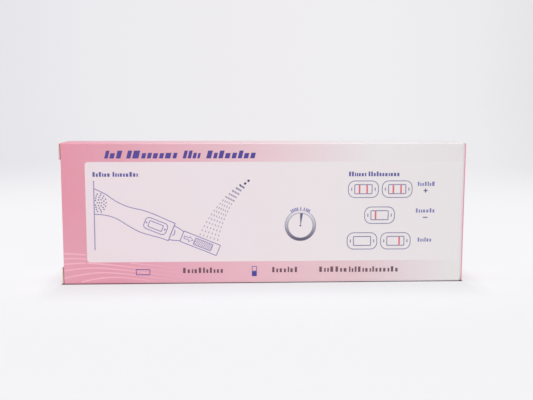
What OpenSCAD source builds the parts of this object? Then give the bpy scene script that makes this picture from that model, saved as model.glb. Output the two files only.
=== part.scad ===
/* [Carton] */
// Length of the closed carton, over the outer faces of both lids
carton_l = 155; // [130:1:190]
// Depth of the carton, front face to back face
carton_d = 16; // [15:1:30]
// Height of the carton as it stands on its long narrow side
carton_h = 54; // [48:1:80]
// Thickness of the grey-back board
board_t = 0.45; // [0.3:0.05:0.6]
// Outer radius of a fold in the board
crease_r = 0.7; // [0.65:0.05:1]
// Width of the glue flap that closes the tube along its back bottom edge
glue_flap_w = 12; // [8:0.5:13]
// How far the ends of the glue flap slope back
glue_flap_slope = 4; // [1:0.5:8]
// Distance from the ends of the glue flap to the dust flaps
glue_flap_inset = 1; // [0.5:0.5:4]
// Radius of the glue flap's free corners
glue_flap_corner_r = 1; // [0.5:0.5:3]
// How deep the glued flap is pressed into the panel under it
glue_press = 0.05; // [0.02:0.01:0.1]

/* [Tuck lids] */
// Length of the tongue, measured round its curl from the hinge side's radius
tongue_l = 10.5; // [8:0.5:12]
// Radius of the tongue's two free corners
tongue_corner_r = 6; // [2:0.5:8]
// How much each side of the tongue slopes in towards its tip
tongue_slope = 0.8; // [0:0.1:2]
// Outer radius of the fold between lid and tongue
tuck_fold_r = 0.8; // [0.7:0.05:1.2]
// How far the tucked tongue draws that fold in behind the ears of the lid
tuck_draw = 0.5; // [0.2:0.05:0.8]
// Length of the lid's slope towards the drawn-in fold
tuck_slope_l = 5; // [3:0.5:8]
// Radius of the bead that the hinge crease raises
hinge_bead_r = 0.45; // [0.35:0.05:0.6]
// Length of the slit at each end of that fold
slit_l = 6; // [3:0.5:9]
// Depth of the notch that the slit leaves beside the fold
slit_notch = 0.6; // [0.3:0.1:1.5]

/* [Dust flaps] */
// Length of a dust flap from the outside of its fold to its tip
dust_l = 19; // [12:0.5:22]
// Length of the full-width shoulder next to the fold
dust_shoulder_l = 7; // [4:0.5:9]
// How far the edge steps in below the shoulder
dust_step = 1.6; // [0.5:0.1:3]
// How much the edge on the hinge side slopes in
dust_slope = 2.4; // [0:0.2:4]
// Radius of the two free corners
dust_corner_r = 3; // [1:0.5:4]

/* [Foil pouch] */
// Width of the flat heat seal round the pouch
seal_w = 6; // [4:0.5:8]
// Thickness of the two sealed films
seal_t = 0.3; // [0.2:0.05:0.5]
// Thickness of the packed stick at its handle
stick_t = 9; // [8:0.5:12]
// Width of the packed stick at its handle
stick_w = 22; // [16:1:26]
// Length of the packed stick from end to end
stick_l = 128; // [90:1:132]
// Length of the narrow capped end of the stick
cap_l = 44; // [30:1:60]
// Share of the handle's thickness and width that the capped end has
cap_share = 0.72; // [0.5:0.02:1]
// Length of the step from the handle to the narrow end
cap_step_l = 9; // [4:1:14]
// Share of the stick's width that the foil lies flat on
flat_share = 0.7; // [0.4:0.05:0.9]
// Depth of the tear notches in the seal
tear_notch = 1.6; // [0.5:0.1:3]
// Distance from the pouch's left end to the tear notches
tear_x = 12; // [8:1:30]

/* [Leaflet] */
// Thickness of the leaflet's paper
paper_t = 0.1; // [0.06:0.01:0.15]
// Number of layers that the sheet is folded into
paper_layers = 6; // [2:1:8]
// Distance from one folded layer to the next
paper_pitch = 0.22; // [0.18:0.01:0.3]

/* [Clearances] */
// Gap between the tongue and the panel that it slides along
tuck_gap = 0.15; // [0.1:0.05:0.3]
// Gap between a closed lid's drawn-in fold and the dust flaps under it
lid_gap = 0.1; // [0.08:0.02:0.3]
// Gap between the hinge bead and the end of its panel
hinge_gap = 0.1; // [0.08:0.02:0.2]
// Gap between the swinging tongue or bead and the edge of a dust flap
dust_gap = 0.25; // [0.2:0.05:0.5]
// How far a lid stays inside the carton's top and bottom faces
lid_side_gap = 0.3; // [0.2:0.05:0.6]
// How far the free end of a panel stays behind the lid's inner face
panel_setback = 0.3; // [0.1:0.05:0.5]
// How far a tongue stays inside the panels beside it
tongue_side_gap = 0.4; // [0.3:0.05:1]
// Gap between a raw glued edge and the corner beside it
seam_gap = 0.3; // [0.2:0.05:0.6]
// Gap between the things packed in the carton and what they rest on
pack_gap = 0.2; // [0.1:0.05:0.3]
// Free height over the pouch and over the leaflet
head_room = 2.4; // [1:0.2:6]
// Gap between the pouch's ends and the dust flaps
pouch_end_gap = 1.4; // [0.5:0.1:4]

/* [Hidden] */
$fn = 64;
print_pink = "#e39fb0";
foil_silver = "#c9ccd1";
leaflet_white = "#f2f1ec";
cut = 1;

// Half sizes and the planes that the pieces share
half_l = carton_l / 2;
half_d = carton_d / 2;
fold_in_r = crease_r - board_t;
dust_face_x = half_l - board_t - tuck_draw - lid_gap;
dust_fold_x = dust_face_x - crease_r;
free_end_x = half_l - board_t - panel_setback;
hinge_end_x = half_l - 2 * hinge_bead_r - hinge_gap;
inner_end_x = dust_face_x - board_t;
floor_z = 2 * board_t - glue_press;
seam_z = board_t - glue_press + crease_r;

// The right lid's hinge axis, the fold beside its tongue, and the tongue's curl about the hinge
hinge_x = half_l - hinge_bead_r;
hinge_y = hinge_bead_r - half_d;
curl_out_r = half_d - board_t - tuck_gap - hinge_y;
curl_in_r = curl_out_r - board_t;
tuck_x = half_l - tuck_draw - tuck_fold_r;
tuck_reach = curl_out_r - tuck_fold_r;
tuck_y = hinge_y + sqrt(pow(tuck_reach, 2) - pow(hinge_x - tuck_x, 2));
tuck_angle = 90 + asin((hinge_x - tuck_x) / tuck_reach);
tip_angle = 90 + tongue_l / curl_out_r * 180 / PI;
tip_x = hinge_x + curl_out_r * cos(tip_angle);
notch_x = tuck_x - slit_notch;
slope_y = tuck_y - tuck_slope_l;
lid_low = lid_side_gap;
lid_high = carton_h - lid_side_gap;
tongue_low = floor_z + tongue_side_gap;
tongue_high = carton_h - tongue_low;
slit_low = lid_low + slit_l;
slit_high = lid_high - slit_l;
fold_steps = 6;
curl_steps = 14;

// The dust flap's edges on the hinge side and on the tuck side
dust_hinge_y = hinge_y + hinge_bead_r + dust_gap;
dust_tuck_y = tuck_y - dust_gap;

// The packed pieces
leaflet_t = (paper_layers - 1) * paper_pitch + paper_t;
leaflet_back_y = half_d - board_t - pack_gap;
leaflet_half_l = tip_x - pouch_end_gap;
pouch_y = leaflet_back_y - leaflet_t - pack_gap - stick_t / 2;
pouch_half_l = inner_end_x - pouch_end_gap;
pouch_low = floor_z + pack_gap;
pouch_high = carton_h - board_t - head_room;
pouch_half_w = (pouch_high - pouch_low) / 2;
pouch_z = (pouch_high + pouch_low) / 2;

function unit(v) = v / norm(v);
function arc(centre, r, from, to, steps) =
    [for (i = [0:steps]) let (a = from + (to - from) * i / steps) centre + r * [cos(a), sin(a)]];
function smooth(s) = let (c = min(1, max(0, s))) c * c * (3 - 2 * c);

// A part of a ring, between two angles up to 180 degrees apart
module ring_part(r_out, r_in, from, to) {
    reach = 2 * r_out;
    middle = (from + to) / 2;
    intersection() {
        difference() {
            circle(r_out);
            circle(r_in);
        }
        polygon([[0, 0], reach * [cos(from), sin(from)], reach * [cos(middle), sin(middle)],
            reach * [cos(to), sin(to)]]);
    }
}

// A polygon whose outward corners are rounded by true arcs; a radius of 0 leaves a corner sharp
module soft_polygon(points, radii) {
    n = len(points);
    before = [for (i = [0:n - 1]) unit(points[(i + n - 1) % n] - points[i])];
    after = [for (i = [0:n - 1]) unit(points[(i + 1) % n] - points[i])];
    half = [for (i = [0:n - 1]) acos(before[i] * after[i]) / 2];
    polygon([for (i = [0:n - 1], side = [before[i], after[i]])
        if (radii[i] > 0 || side == before[i]) points[i] + side * radii[i] / tan(half[i])]);
    for (i = [0:n - 1])
        if (radii[i] > 0)
            translate(points[i] + unit(before[i] + after[i]) * radii[i] / sin(half[i]))
                circle(radii[i]);
}

// Carries a shape drawn in Y and Z along X, from one place to another
module along_x(from, to) {
    translate([from, 0, 0]) rotate([90, 0, 90]) linear_extrude(to - from) children();
}

// Carries a shape drawn in X and Z along Y, from one place to another
module along_y(from, to) {
    translate([0, to, 0]) rotate([90, 0, 0]) linear_extrude(to - from) children();
}

// One of the tube's long folds, centred on its inner radius
module corner(y, z, from) {
    translate([y, z]) ring_part(crease_r, fold_in_r, from, from + 90);
}

// The front panel with the folds above and below it, in Y and Z
module front_section() {
    translate([-half_d, crease_r]) square([board_t, carton_h - 2 * crease_r]);
    corner(crease_r - half_d, crease_r, 180);
    corner(crease_r - half_d, carton_h - crease_r, 90);
}

// The back panel with the fold above it, in Y and Z; its lower edge is cut
module back_section() {
    translate([half_d - board_t, seam_z]) square([board_t, carton_h - crease_r - seam_z]);
    corner(half_d - crease_r, carton_h - crease_r, 0);
}

// The four walls of the tube, in Y and Z
module tube_section() {
    front_section();
    back_section();
    translate([crease_r - half_d, carton_h - board_t])
        square([carton_d - 2 * crease_r, board_t]);
    translate([crease_r - half_d, 0]) square([carton_d - crease_r - seam_gap, board_t]);
}

// The fold below the back panel and the glue flap that runs on from it, in Y and Z
module seam_section() {
    translate([half_d - board_t, seam_z]) square(board_t);
    corner(half_d - crease_r, seam_z, 270);
    translate([half_d - glue_flap_w, board_t - glue_press])
        square([glue_flap_w - crease_r, board_t]);
}

// The glue flap and its fold from above, in X and Y
module seam_outline() {
    root_x = inner_end_x - glue_flap_inset;
    tip_half = root_x - glue_flap_slope;
    root_y = half_d - crease_r;
    tip_y = half_d - glue_flap_w;
    soft_polygon([[-root_x, half_d + cut], [-root_x, root_y], [-tip_half, tip_y],
        [tip_half, tip_y], [root_x, root_y], [root_x, half_d + cut]],
        [0, 0, glue_flap_corner_r, glue_flap_corner_r, 0, 0]);
}

// The end of the top panel at the right, its fold and the dust flap, in X and Z
module dust_section() {
    translate([dust_fold_x - board_t, carton_h - board_t]) square(board_t);
    translate([dust_fold_x, carton_h - crease_r]) ring_part(crease_r, fold_in_r, 0, 90);
    translate([dust_face_x - board_t, carton_h - dust_l])
        square([board_t, dust_l - crease_r]);
}

// The dust flap at the top right, in Y and Z
module dust_outline() {
    tip_z = carton_h - dust_l;
    shoulder_z = carton_h - dust_shoulder_l;
    soft_polygon([[dust_hinge_y, carton_h + cut], [dust_hinge_y, shoulder_z],
        [dust_hinge_y + dust_slope, tip_z], [dust_tuck_y - dust_step, tip_z],
        [dust_tuck_y - dust_step, shoulder_z - dust_step], [dust_tuck_y, shoulder_z],
        [dust_tuck_y, carton_h + cut]], [0, 0, dust_corner_r, dust_corner_r, 0, 0, 0]);
}

// The dust flap at the top right, folded down over the end
module dust_flap() {
    intersection() {
        along_y(-half_d, half_d) dust_section();
        along_x(dust_fold_x - 2 * board_t, half_l) dust_outline();
    }
}

// Both dust flaps of one end
module dust_pair() {
    dust_flap();
    translate([0, 0, carton_h]) mirror([0, 0, 1]) dust_flap();
}

// The folded and glued tube with its four dust flaps
module carton() {
    color(print_pink) {
        along_x(-dust_fold_x, dust_fold_x) tube_section();
        along_x(-free_end_x, hinge_end_x) front_section();
        along_x(-hinge_end_x, free_end_x) back_section();
        intersection() {
            along_x(-half_l, half_l) seam_section();
            linear_extrude(carton_h) seam_outline();
        }
        dust_pair();
        rotate([0, 0, 180]) dust_pair();
    }
}

// The slope of the lid, its fold and the tongue, which curls about the hinge, in X and Y
module tuck_section() {
    lean = atan(tuck_draw / tuck_slope_l);
    curl_step = (tip_angle - tuck_angle) / curl_steps;
    fold = [tuck_x, tuck_y];
    hinge = [hinge_x, hinge_y];
    polygon(concat([[half_l - board_t, slope_y], [half_l - board_t, slope_y - board_t],
        [half_l, slope_y - board_t], [half_l, slope_y]],
        arc(fold, tuck_fold_r, lean, tuck_angle, fold_steps),
        arc(hinge, curl_out_r, tuck_angle + curl_step, tip_angle, curl_steps - 1),
        arc(hinge, curl_in_r, tip_angle, tuck_angle + curl_step, curl_steps - 1),
        arc(fold, tuck_fold_r - board_t, tuck_angle, lean, fold_steps)));
}

// The slope, the fold and the tongue as seen from the front, in X and Z; slits end the fold
module tuck_outline() {
    soft_polygon([[half_l + cut, slit_low], [half_l + cut, slit_high], [notch_x, slit_high],
        [notch_x, tongue_high], [tip_x, tongue_high - tongue_slope],
        [tip_x, tongue_low + tongue_slope], [notch_x, tongue_low], [notch_x, slit_low]],
        [0, 0, 0, 0, tongue_corner_r, tongue_corner_r, 0, 0]);
}

// The lid's flat panel, with an ear beyond each slit, in Y and Z
module lid_outline() {
    ear_y = half_d - seam_gap / 2;
    polygon([[hinge_y, lid_low], [ear_y, lid_low], [ear_y, slit_low], [slope_y, slit_low],
        [slope_y, slit_high], [ear_y, slit_high], [ear_y, lid_high], [hinge_y, lid_high]]);
}

// The right lid, hinged on the front panel and tucked in behind the back one
module tuck_lid() {
    translate([hinge_x, hinge_y, lid_low]) cylinder(h = lid_high - lid_low, r = hinge_bead_r);
    along_x(half_l - board_t, half_l) lid_outline();
    intersection() {
        linear_extrude(carton_h) tuck_section();
        along_y(0, carton_d) tuck_outline();
    }
}

module right_lid() {
    color(print_pink) tuck_lid();
}

// The left lid is the right one turned about, so it hinges on the back panel
module left_lid() {
    color(print_pink) rotate([0, 0, 180]) tuck_lid();
}

// The share of its full thickness and width that the stick has at a place along it
function stick_share(x) = 1 - (1 - cap_share) * smooth((x - stick_l / 2 + cap_l) / cap_step_l + 0.5);

// Half the thickness of the pouch at a place along and across it
function pouch_half_t(x, z) =
    let (seal_x = pouch_half_l - seal_w,
        seal_z = pouch_half_w - seal_w,
        flat_z = stick_w / 2 * flat_share * stick_share(x),
        along = smooth((seal_x - abs(x)) / (seal_x - stick_l / 2 + stick_t)),
        across = smooth((seal_z - abs(z)) / (seal_z - flat_z)))
    seal_t / 2 + (stick_t - seal_t) / 2 * stick_share(x) * along * across;

// How deep the tear notch cuts into the long edges of the seal at a place along them
function notch_depth(x) = max(0, tear_notch - abs(x + pouch_half_l - tear_x));

// A face of four corners, turned over where it looks the other way
function quad(a, b, c, d, turned) = turned ? [d, c, b, a] : [a, b, c, d];

// The sealed foil pouch with the stick inside it, as one closed skin
module foil_pouch() {
    columns = 48;
    rows = 14;
    across = columns + 1;
    layer = across * (rows + 1);
    skin = [for (side = [-1, 1], j = [0:rows], i = [0:columns])
        let (x = pouch_half_l * (2 * i / columns - 1),
            z = (2 * j / rows - 1) * (pouch_half_w - notch_depth(x)))
        [x, pouch_y + side * pouch_half_t(x, z), pouch_z + z]];
    sides = [for (back = [0, 1], j = [0:rows - 1], i = [0:columns - 1])
        let (a = back * layer + j * across + i)
        quad(a, a + 1, a + across + 1, a + across, back == 1)];
    long_edges = [for (top = [0, 1], i = [0:columns - 1])
        let (a = top * rows * across + i)
        quad(a, a + layer, a + layer + 1, a + 1, top == 1)];
    ends = [for (far = [0, 1], j = [0:rows - 1])
        let (a = j * across + far * columns)
        quad(a, a + across, a + across + layer, a + layer, far == 1)];
    color(foil_silver) polyhedron(skin, concat(sides, long_edges, ends), convexity = 4);
}

// The leaflet's folded layers from the end, in Y and Z
module leaflet_section() {
    fold_r = (paper_pitch + paper_t) / 2;
    low = pouch_low + fold_r;
    high = pouch_high - fold_r;
    for (k = [0:paper_layers - 1])
        translate([leaflet_back_y - paper_t - k * paper_pitch, low]) square([paper_t, high - low]);
    for (k = [0:paper_layers - 2])
        translate([leaflet_back_y - paper_t / 2 - (k + 0.5) * paper_pitch, k % 2 == 0 ? high : low])
            ring_part(fold_r, fold_r - paper_t, k % 2 == 0 ? 0 : 180, k % 2 == 0 ? 180 : 360);
}

// The instruction leaflet, one sheet folded to and fro, standing against the back panel
module leaflet() {
    color(leaflet_white) along_x(-leaflet_half_l, leaflet_half_l) leaflet_section();
}

carton();
left_lid();
right_lid();
foil_pouch();
leaflet();
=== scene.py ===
"""Looks of a closed tuck-end folding carton with a foil pouch and a folded leaflet inside it.

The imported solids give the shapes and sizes. This script dresses them: printed and raw board,
thin plates of ink on the panels, paper strips over the two lid creases, creased foil round the
packed stick and thin leaflet paper. Lengths are in millimetres unless a name says otherwise, and
each finished mesh is scaled to metres when it is made. X runs along the carton, the front panel
faces -Y, and Z is up.
"""

import logging
import math
from collections.abc import Sequence
from dataclasses import dataclass, field
from enum import Enum

import bpy
import numpy as np
from mathutils import Matrix, Vector


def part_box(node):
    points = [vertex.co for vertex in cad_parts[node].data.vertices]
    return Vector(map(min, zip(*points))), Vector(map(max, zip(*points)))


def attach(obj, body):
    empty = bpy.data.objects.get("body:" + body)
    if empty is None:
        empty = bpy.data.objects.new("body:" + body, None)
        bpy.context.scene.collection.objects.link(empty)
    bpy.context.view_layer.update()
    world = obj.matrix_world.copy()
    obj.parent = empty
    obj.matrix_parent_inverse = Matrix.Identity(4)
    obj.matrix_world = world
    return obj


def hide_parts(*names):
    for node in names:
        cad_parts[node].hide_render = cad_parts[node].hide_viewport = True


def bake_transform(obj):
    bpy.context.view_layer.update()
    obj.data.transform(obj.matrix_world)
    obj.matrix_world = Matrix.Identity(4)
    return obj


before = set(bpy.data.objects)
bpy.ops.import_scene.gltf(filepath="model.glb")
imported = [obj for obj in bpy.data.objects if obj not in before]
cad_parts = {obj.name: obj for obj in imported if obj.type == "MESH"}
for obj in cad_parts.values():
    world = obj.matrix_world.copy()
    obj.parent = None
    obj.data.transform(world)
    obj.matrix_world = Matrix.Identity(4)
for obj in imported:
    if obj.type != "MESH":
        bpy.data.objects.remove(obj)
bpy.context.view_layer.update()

MM = 0.001
log = logging.getLogger("carton")

Rgb = tuple[float, float, float]
Pair = tuple[float, float]
Triple = tuple[float, float, float]
Stops = tuple[tuple[float, Rgb], ...]
Socket = bpy.types.NodeSocket
Material = bpy.types.Material

WHITE: Rgb = (255, 255, 255)
BLACK: Rgb = (0, 0, 0)


def linear(colour: Rgb) -> tuple[float, float, float, float]:
    """Turns a colour as it is seen on a screen into the renderer's own numbers.

    Args:
        colour: Red, green and blue from 0 to 255.

    Returns:
        Linear red, green and blue with a full alpha: each share s is s / 12.92 up to 0.04045, and
        ((s + 0.055) / 1.055) to the power 2.4 above.
    """
    share = np.asarray(colour, float) / 255
    low, high = share / 12.92, ((share + 0.055) / 1.055) ** 2.4
    return (*np.where(share <= 0.04045, low, high).tolist(), 1.0)


# Materials


class Field:
    """A number that varies over a surface; arithmetic on it adds math nodes."""

    def __init__(self, nodes: "Nodes", socket: Socket) -> None:
        """Keeps the tree and the socket that the number comes from."""
        self.nodes = nodes
        self.socket = socket

    def op(self, name: str, *others: "Field | float", clamp: bool = False) -> "Field":
        """Adds one math node.

        Args:
            name: The node's operation.
            others: Its second and third operand, where it has them.
            clamp: Whether the result is held between 0 and 1.

        Returns:
            The result.
        """
        operands = dict(enumerate((self, *others)))
        node = self.nodes.node("Math", operands, operation=name, use_clamp=clamp)
        return Field(self.nodes, node.outputs[0])

    def __add__(self, other: "Field | float") -> "Field":
        """The sum."""
        return self.op("ADD", other)

    def __sub__(self, other: "Field | float") -> "Field":
        """The difference."""
        return self.op("SUBTRACT", other)

    def __rsub__(self, other: float) -> "Field":
        """A number less this field."""
        return (self * -1.0) + other

    def __mul__(self, other: "Field | float") -> "Field":
        """The product."""
        return self.op("MULTIPLY", other)

    def __abs__(self) -> "Field":
        """The size without its sign."""
        return self.op("ABSOLUTE")

    def above(self, other: "Field | float") -> "Field":
        """1 where this is greater than the other, and 0 elsewhere."""
        return self.op("GREATER_THAN", other)

    def lowest(self, other: "Field | float") -> "Field":
        """The lower of the two."""
        return self.op("MINIMUM", other)

    def highest(self, other: "Field | float") -> "Field":
        """The higher of the two."""
        return self.op("MAXIMUM", other)

    def round_lowest(self, other: "Field | float", width: float) -> "Field":
        """The lower of the two, rounded over where they are within a width of each other."""
        return self.op("SMOOTH_MIN", other, width)

    def hypot(self, other: "Field") -> "Field":
        """The length of the two as a vector: the root of the sum of their squares."""
        return (self * self + other * other).op("SQRT")

    def rise(self, low: float, high: float) -> "Field":
        """A smooth step between two values of this field.

        Args:
            low: Where it is 0; it may be the greater of the two.
            high: Where it is 1.

        Returns:
            The step.
        """
        ends = (0.0, 1.0) if low <= high else (1.0, 0.0)
        values = dict(enumerate((self, *sorted((low, high)), *ends)))
        node = self.nodes.node("MapRange", values, interpolation_type="SMOOTHSTEP")
        return Field(self.nodes, node.outputs[0])


@dataclass(frozen=True)
class Place:
    """A place on an object in millimetres: its three parts, and the same as one vector."""

    x: Field
    y: Field
    z: Field
    vector: Socket


class Nodes:
    """A node tree, written as calls that return sockets or fields."""

    def __init__(self, tree: bpy.types.NodeTree) -> None:
        """Starts from an empty tree."""
        self.tree = tree
        self.tree.nodes.clear()

    def plug(self, socket: Socket, value: object) -> None:
        """Links a field or socket into a socket, or sets a plain value on it.

        Args:
            socket: The input.
            value: What goes into it.
        """
        if isinstance(value, Field):
            value = value.socket
        if isinstance(value, Socket):
            self.tree.links.new(value, socket)
        else:
            socket.default_value = value

    def node(self, kind: str, inputs: dict[int | str, object] | None = None,
             **settings: object) -> bpy.types.Node:
        """Adds a node.

        Args:
            kind: Its type, without the words that all of them start with.
            inputs: What goes into its inputs, by number or by name.
            settings: Its own settings.

        Returns:
            The node.
        """
        node = self.tree.nodes.new(f"ShaderNode{kind}")
        for name, value in settings.items():
            setattr(node, name, value)
        for key, value in (inputs or {}).items():
            self.plug(node.inputs[key], value)
        return node

    def noise(self, at: Place, size: float, detail: float,
              stretch: Triple = (1.0, 1.0, 1.0)) -> Field:
        """Cloudy noise of mean 0.5.

        Args:
            at: The place.
            size: The size of its features, in millimetres.
            detail: How many finer layers it has.
            stretch: How much longer the features are along each axis.

        Returns:
            The noise, from 0 to 1.
        """
        scaled = self.node("Mapping", {0: at.vector, "Scale": [1 / (size * s) for s in stretch]})
        node = self.node("TexNoise", {"Vector": scaled.outputs[0], "Scale": 1.0, "Detail": detail})
        return Field(self, node.outputs[0])

    def cell_edges(self, at: Place, size: float) -> Field:
        """The distance to the nearest edge between the cells of scattered points."""
        node = self.node("TexVoronoi", {"Vector": at.vector, "Scale": 1 / size},
                         feature="DISTANCE_TO_EDGE")
        return Field(self, node.outputs[0])

    def ramp(self, value: Field, stops: Stops) -> Socket:
        """A run of colours along a field.

        Args:
            value: The field.
            stops: Pairs of the field's value and the colour there, in rising order.

        Returns:
            The colour.
        """
        low, high = stops[0][0], stops[-1][0]
        node = self.node("ValToRGB", {0: (value - low) * (1 / (high - low))})
        marks = node.color_ramp.elements
        marks[0].position, marks[0].color = 0.0, linear(stops[0][1])
        marks[1].position, marks[1].color = 1.0, linear(stops[-1][1])
        for at, colour in stops[1:-1]:
            marks.new((at - low) / (high - low)).color = linear(colour)
        return node.outputs[0]

    def mix(self, share: Field | float, under: object, over: object, blend: str = "MIX") -> Socket:
        """Mixes two colours.

        Args:
            share: How much of the second shows.
            under: The first colour, as a socket or as screen numbers.
            over: The second.
            blend: The blend type.

        Returns:
            The colour.
        """
        ends = (linear(c) if isinstance(c, tuple) else c for c in (under, over))
        node = self.node("Mix", dict(zip((0, 6, 7), (share, *ends), strict=True)),
                         data_type="RGBA", blend_type=blend)
        return node.outputs[2]

    def grey(self, value: Field) -> Socket:
        """A grey colour of a field's own strength."""
        return self.node("CombineColor", dict.fromkeys(range(3), value)).outputs[0]

    def shade(self, colour: Socket, gain: Field) -> Socket:
        """A colour made lighter or darker by a field."""
        return self.mix(1.0, colour, self.grey(gain), "MULTIPLY")

    def bump(self, height: Field, reach: float, strength: float,
             over: Socket | None = None) -> Socket:
        """Shading relief.

        Args:
            height: The relief, from 0 to 1.
            reach: What a height of 1 stands for, in millimetres.
            strength: The node's strength.
            over: A relief that this one lies on.

        Returns:
            The normal.
        """
        node = self.node("Bump", {"Strength": strength, "Distance": reach * MM, "Height": height})
        if over is not None:
            self.plug(node.inputs["Normal"], over)
        return node.outputs[0]

    def parts(self, vector: Socket) -> list[Field]:
        """The three numbers of a vector."""
        return [Field(self, socket) for socket in self.node("SeparateXYZ", {0: vector}).outputs]

    def backdrop_share(self) -> Field:
        """1 for rays that show the backdrop itself: camera, glossy and transmission rays."""
        path = self.node("LightPath")
        share = Field(self, path.outputs["Is Camera Ray"])
        for name in ("Is Glossy Ray", "Is Transmission Ray"):
            share = share.op("ADD", Field(self, path.outputs[name]), clamp=True)
        return share


class Shader(Nodes):
    """One material's node tree."""

    def __init__(self, name: str, view: Rgb) -> None:
        """Makes an empty material.

        Args:
            name: The material's name.
            view: The colour that stands for it outside a render.
        """
        self.material = bpy.data.materials.new(name)
        self.material.use_nodes = True
        self.material.diffuse_color = linear(view)
        super().__init__(self.material.node_tree)
        self.output = self.node("OutputMaterial")

    def place(self) -> Place:
        """The place on the object, in millimetres."""
        place = self.node("TexCoord").outputs["Object"]
        scaled = self.node("VectorMath", {0: place, "Scale": 1 / MM}, operation="SCALE")
        return Place(*self.parts(scaled.outputs[0]), scaled.outputs[0])

    def along_sheet(self) -> Field:
        """U of the piece's own UV map, whose units are millimetres on the flat sheet."""
        return self.parts(self.node("UVMap").outputs[0])[0]

    def principled(self, **values: object) -> Material:
        """Ends the tree in a Principled shader.

        Args:
            values: Its inputs, with underscores for spaces.

        Returns:
            The material.
        """
        named = {name.replace("_", " "): value for name, value in values.items()}
        self.plug(self.output.inputs["Surface"], self.node("BsdfPrincipled", named).outputs[0])
        return self.material


@dataclass(frozen=True)
class Waver:
    """A number that wavers about its mean with cloudy noise."""

    mean: float
    spread: float
    size: float
    detail: float = 3

    def on(self, s: Nodes, at: Place) -> Field:
        """The number at a place."""
        return (s.noise(at, self.size, self.detail) - 0.5) * self.spread + self.mean


@dataclass(frozen=True)
class Patches:
    """Patches of cloudy noise: none of them under its low level, a full share over its high one."""

    size: float
    detail: float
    low: float
    high: float
    share: float = 1.0
    stretch: Triple = (1.0, 1.0, 1.0)

    def on(self, s: Nodes, at: Place) -> Field:
        """The patches' share at a place."""
        cloud = s.noise(at, self.size, self.detail, self.stretch)
        return cloud.rise(self.low, self.high) * self.share


@dataclass(frozen=True)
class Relief:
    """Shading relief of cloudy noise."""

    size: float
    detail: float
    reach: float
    strength: float = 0.5

    def on(self, s: Nodes, at: Place, over: Socket | None = None) -> Socket:
        """The normal at a place, on another relief where one is given."""
        return s.bump(s.noise(at, self.size, self.detail), self.reach, self.strength, over)


@dataclass(frozen=True)
class CartonShape:
    """The outer shape of the closed carton, in millimetres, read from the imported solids."""

    half_l: float
    half_d: float
    height: float
    board: float = 0.45
    crease_r: float = 0.7
    dust_face_x: float = 76.45
    dust_fold_x: float = 75.75
    seam_z: float = 1.1
    bead_r: float = 0.45
    tuck_gap: float = 0.15
    fold_r: float = 0.8
    slope_run: float = 5.0
    slope_drop: float = 0.5
    slit: float = 6.3

    @classmethod
    def read(cls) -> "CartonShape":
        """Takes the overall sizes from the boxes of the carton and the lids."""
        _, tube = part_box("carton")
        _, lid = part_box("right_lid")
        return cls(lid.x / MM, tube.y / MM, tube.z / MM)

    @property
    def hinge_x(self) -> float:
        """Where the right lid's crease is along the carton."""
        return self.half_l - self.bead_r

    @property
    def hinge_y(self) -> float:
        """Where the right lid's crease is in depth."""
        return self.bead_r - self.half_d

    @property
    def curl_r(self) -> float:
        """The radius of the tongue's outer face about the crease."""
        return self.half_d - self.board - self.tuck_gap - self.hinge_y

    @property
    def slope_y(self) -> float:
        """Where the slope starts: its run before the fold, which lies on the tongue's curl."""
        along = self.slope_drop + self.fold_r - self.bead_r
        fold_y = math.sqrt((self.curl_r - self.fold_r) ** 2 - along ** 2)
        return self.hinge_y + fold_y - self.slope_run


class Side(Enum):
    """The printed faces of the carton."""

    FRONT = "front"
    BACK = "back"
    LEFT_END = "left_end"
    RIGHT_END = "right_end"


@dataclass(frozen=True)
class PrintColours:
    """The printed fade and the fields on it, as screen colours.

    The fade runs from pink to near white along the carton. It runs further along the low margin
    than along the top one, so each has its own run of colours, mixed by height in between.
    """

    top_fade: Stops = (
        (-77, (223, 143, 162)), (-58, (222, 154, 170)), (-32, (225, 173, 185)),
        (0, (228, 195, 202)), (32, (228, 218, 221)), (44, (229, 225, 226)), (77, (225, 219, 220)))
    low_fade: Stops = (
        (-77, (224, 155, 172)), (-58, (222, 152, 170)), (-30, (226, 167, 183)),
        (6, (228, 186, 195)), (36, (223, 195, 200)), (54, (224, 209, 213)), (77, (226, 224, 223)))
    mixed: Pair = (8.0, 38.0)
    panel: Stops = (
        (-68, (231, 217, 222)), (-20, (232, 221, 225)), (30, (231, 224, 226)),
        (78, (228, 223, 224)))
    edge_pink: Rgb = (224, 152, 171)
    flap_white: Rgb = (232, 230, 229)
    # worn is the pale colour on the tube's creases: a painted highlight along them, with some real
    # rubbed wear.
    worn: Rgb = (243, 236, 237)
    inner: Rgb = (200, 194, 186)
    inner_fleck: Rgb = (152, 142, 130)
    raw: Rgb = (248, 224, 208)
    raw_layer: Rgb = (230, 202, 184)

    def fade(self, s: Shader, at: Place) -> Socket:
        """The fade's colour at a place."""
        low, top = (s.ramp(at.x, stops) for stops in (self.low_fade, self.top_fade))
        return s.mix(at.z.rise(*self.mixed), low, top)


PRINT = PrintColours()


@dataclass(frozen=True)
class PaleField:
    """A pale field with rounded corners, printed on a face; its right edge may run out."""

    left: float
    right: float
    low: float
    high: float
    radius: float = 1.2
    blur: float = 0.14

    def share(self, at: Place) -> Field:
        """How much of the field shows at a place.

        The distance outside a rounded rectangle is the length of the overshoot past its corner
        centres, less the radius.

        Args:
            at: The place.

        Returns:
            1 inside the field, 0 outside it.
        """
        spans = ((at.x, self.left, self.right), (at.z, self.low, self.high))
        over = [(abs(value - (low + high) / 2) - ((high - low) / 2 - self.radius)).highest(0.0)
                for value, low, high in spans]
        return over[0].hypot(over[1]).rise(self.radius + self.blur / 2, self.radius - self.blur / 2)


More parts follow.
